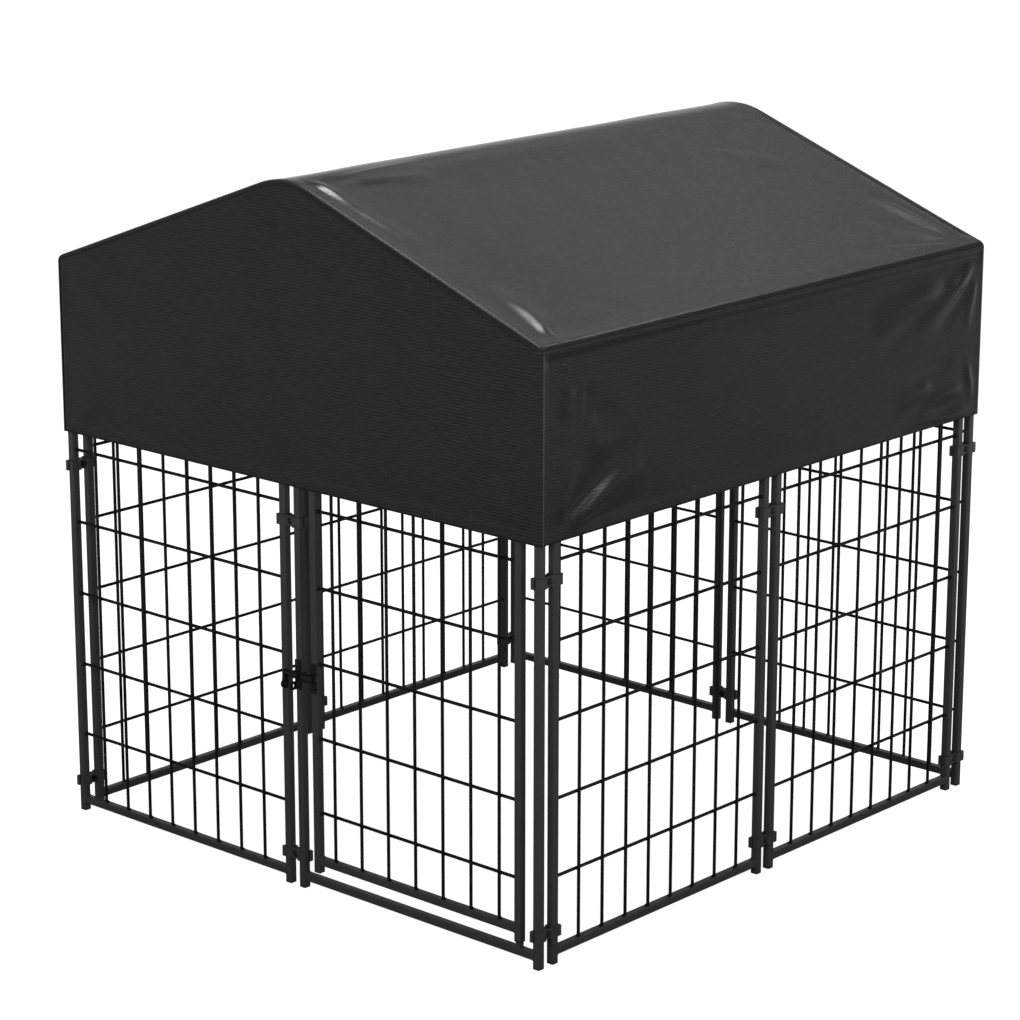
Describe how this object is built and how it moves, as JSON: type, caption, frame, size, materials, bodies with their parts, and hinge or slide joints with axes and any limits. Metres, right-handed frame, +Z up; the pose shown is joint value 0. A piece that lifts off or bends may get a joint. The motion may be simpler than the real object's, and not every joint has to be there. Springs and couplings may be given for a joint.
{
  "type": "dog kennel run",
  "caption": "Black square-tube dog kennel run of clamped welded-wire panels, with an inward-swinging gate, a slide-bolt latch and a peaked fabric cover on a tube roof frame.",
  "frame": {"origin": "on the ground at the centre of the plan, midway between the side walls and between the gate wall and the rear wall", "axes": "+Z up, -Y towards the gate side, +X to the right of someone who faces the gate; the ridge runs along Y"},
  "size_m": [1.2472, 1.3206, 1.3368],
  "materials": {
    "frame_steel": "satin black powder coat",
    "mesh_wire": "satin black powder coat over welded wire",
    "black_plastic": "fine moulded texture",
    "hardware": "black oxide",
    "cover_cloth": "coated woven polyester"
  },
  "bodies": {
    "kennel": {"front_left_frame": "frame_steel", "front_left_mesh": "mesh_wire", "right_front_frame": "frame_steel", "right_front_mesh": "mesh_wire", "right_rear_frame": "frame_steel", "right_rear_mesh": "mesh_wire", "rear_right_frame": "frame_steel", "rear_right_mesh": "mesh_wire", "rear_left_frame": "frame_steel", "rear_left_mesh": "mesh_wire", "left_rear_frame": "frame_steel", "left_rear_mesh": "mesh_wire", "left_front_frame": "frame_steel", "left_front_mesh": "mesh_wire", "gate_surround": "frame_steel", "stile_feet": "black_plastic", "stile_caps": "black_plastic", "lower_pivot_pin": "frame_steel", "upper_pivot_bolt": "hardware", "upper_pivot_spacer": "frame_steel", "latch_guide": "frame_steel", "latch_guide_screws": "hardware", "clamp_outer_straps": "frame_steel", "clamp_inner_straps": "frame_steel", "clamp_bolts": "hardware", "clamp_nuts": "hardware", "corner_fitting_front_left": "black_plastic", "corner_fitting_front_right": "black_plastic", "corner_fitting_rear_left": "black_plastic", "corner_fitting_rear_right": "black_plastic", "rafter_front_left": "frame_steel", "rafter_front_right": "frame_steel", "rafter_rear_left": "frame_steel", "rafter_rear_right": "frame_steel", "apex_fitting_front": "black_plastic", "apex_fitting_rear": "black_plastic", "ridge_pole": "frame_steel", "eave_tube_left": "frame_steel", "eave_tube_right": "frame_steel", "cover_main": "cover_cloth", "cover_front_gable": "cover_cloth", "cover_rear_gable": "cover_cloth"},
    "gate": {"gate_frame": "frame_steel", "gate_mesh": "mesh_wire", "gate_pivot_bushes": "black_plastic", "gate_stile_caps": "black_plastic", "latch_keeper": "frame_steel", "latch_keeper_screws": "hardware"},
    "latch_bolt": {"latch_bolt": "hardware", "latch_handle": "hardware"}
  },
  "joints": [
    {"name": "gate_swing", "type": "hinge", "parent": "kennel", "child": "gate", "pos_m": [0.559, -0.6405, 0.0425], "axis": [0, 0, -1], "range_deg": [0, 90]},
    {"name": "latch_slide", "type": "slide", "parent": "kennel", "child": "latch_bolt", "axis": [1, 0, 0], "range_m": [0, 0.018]}
  ]
}
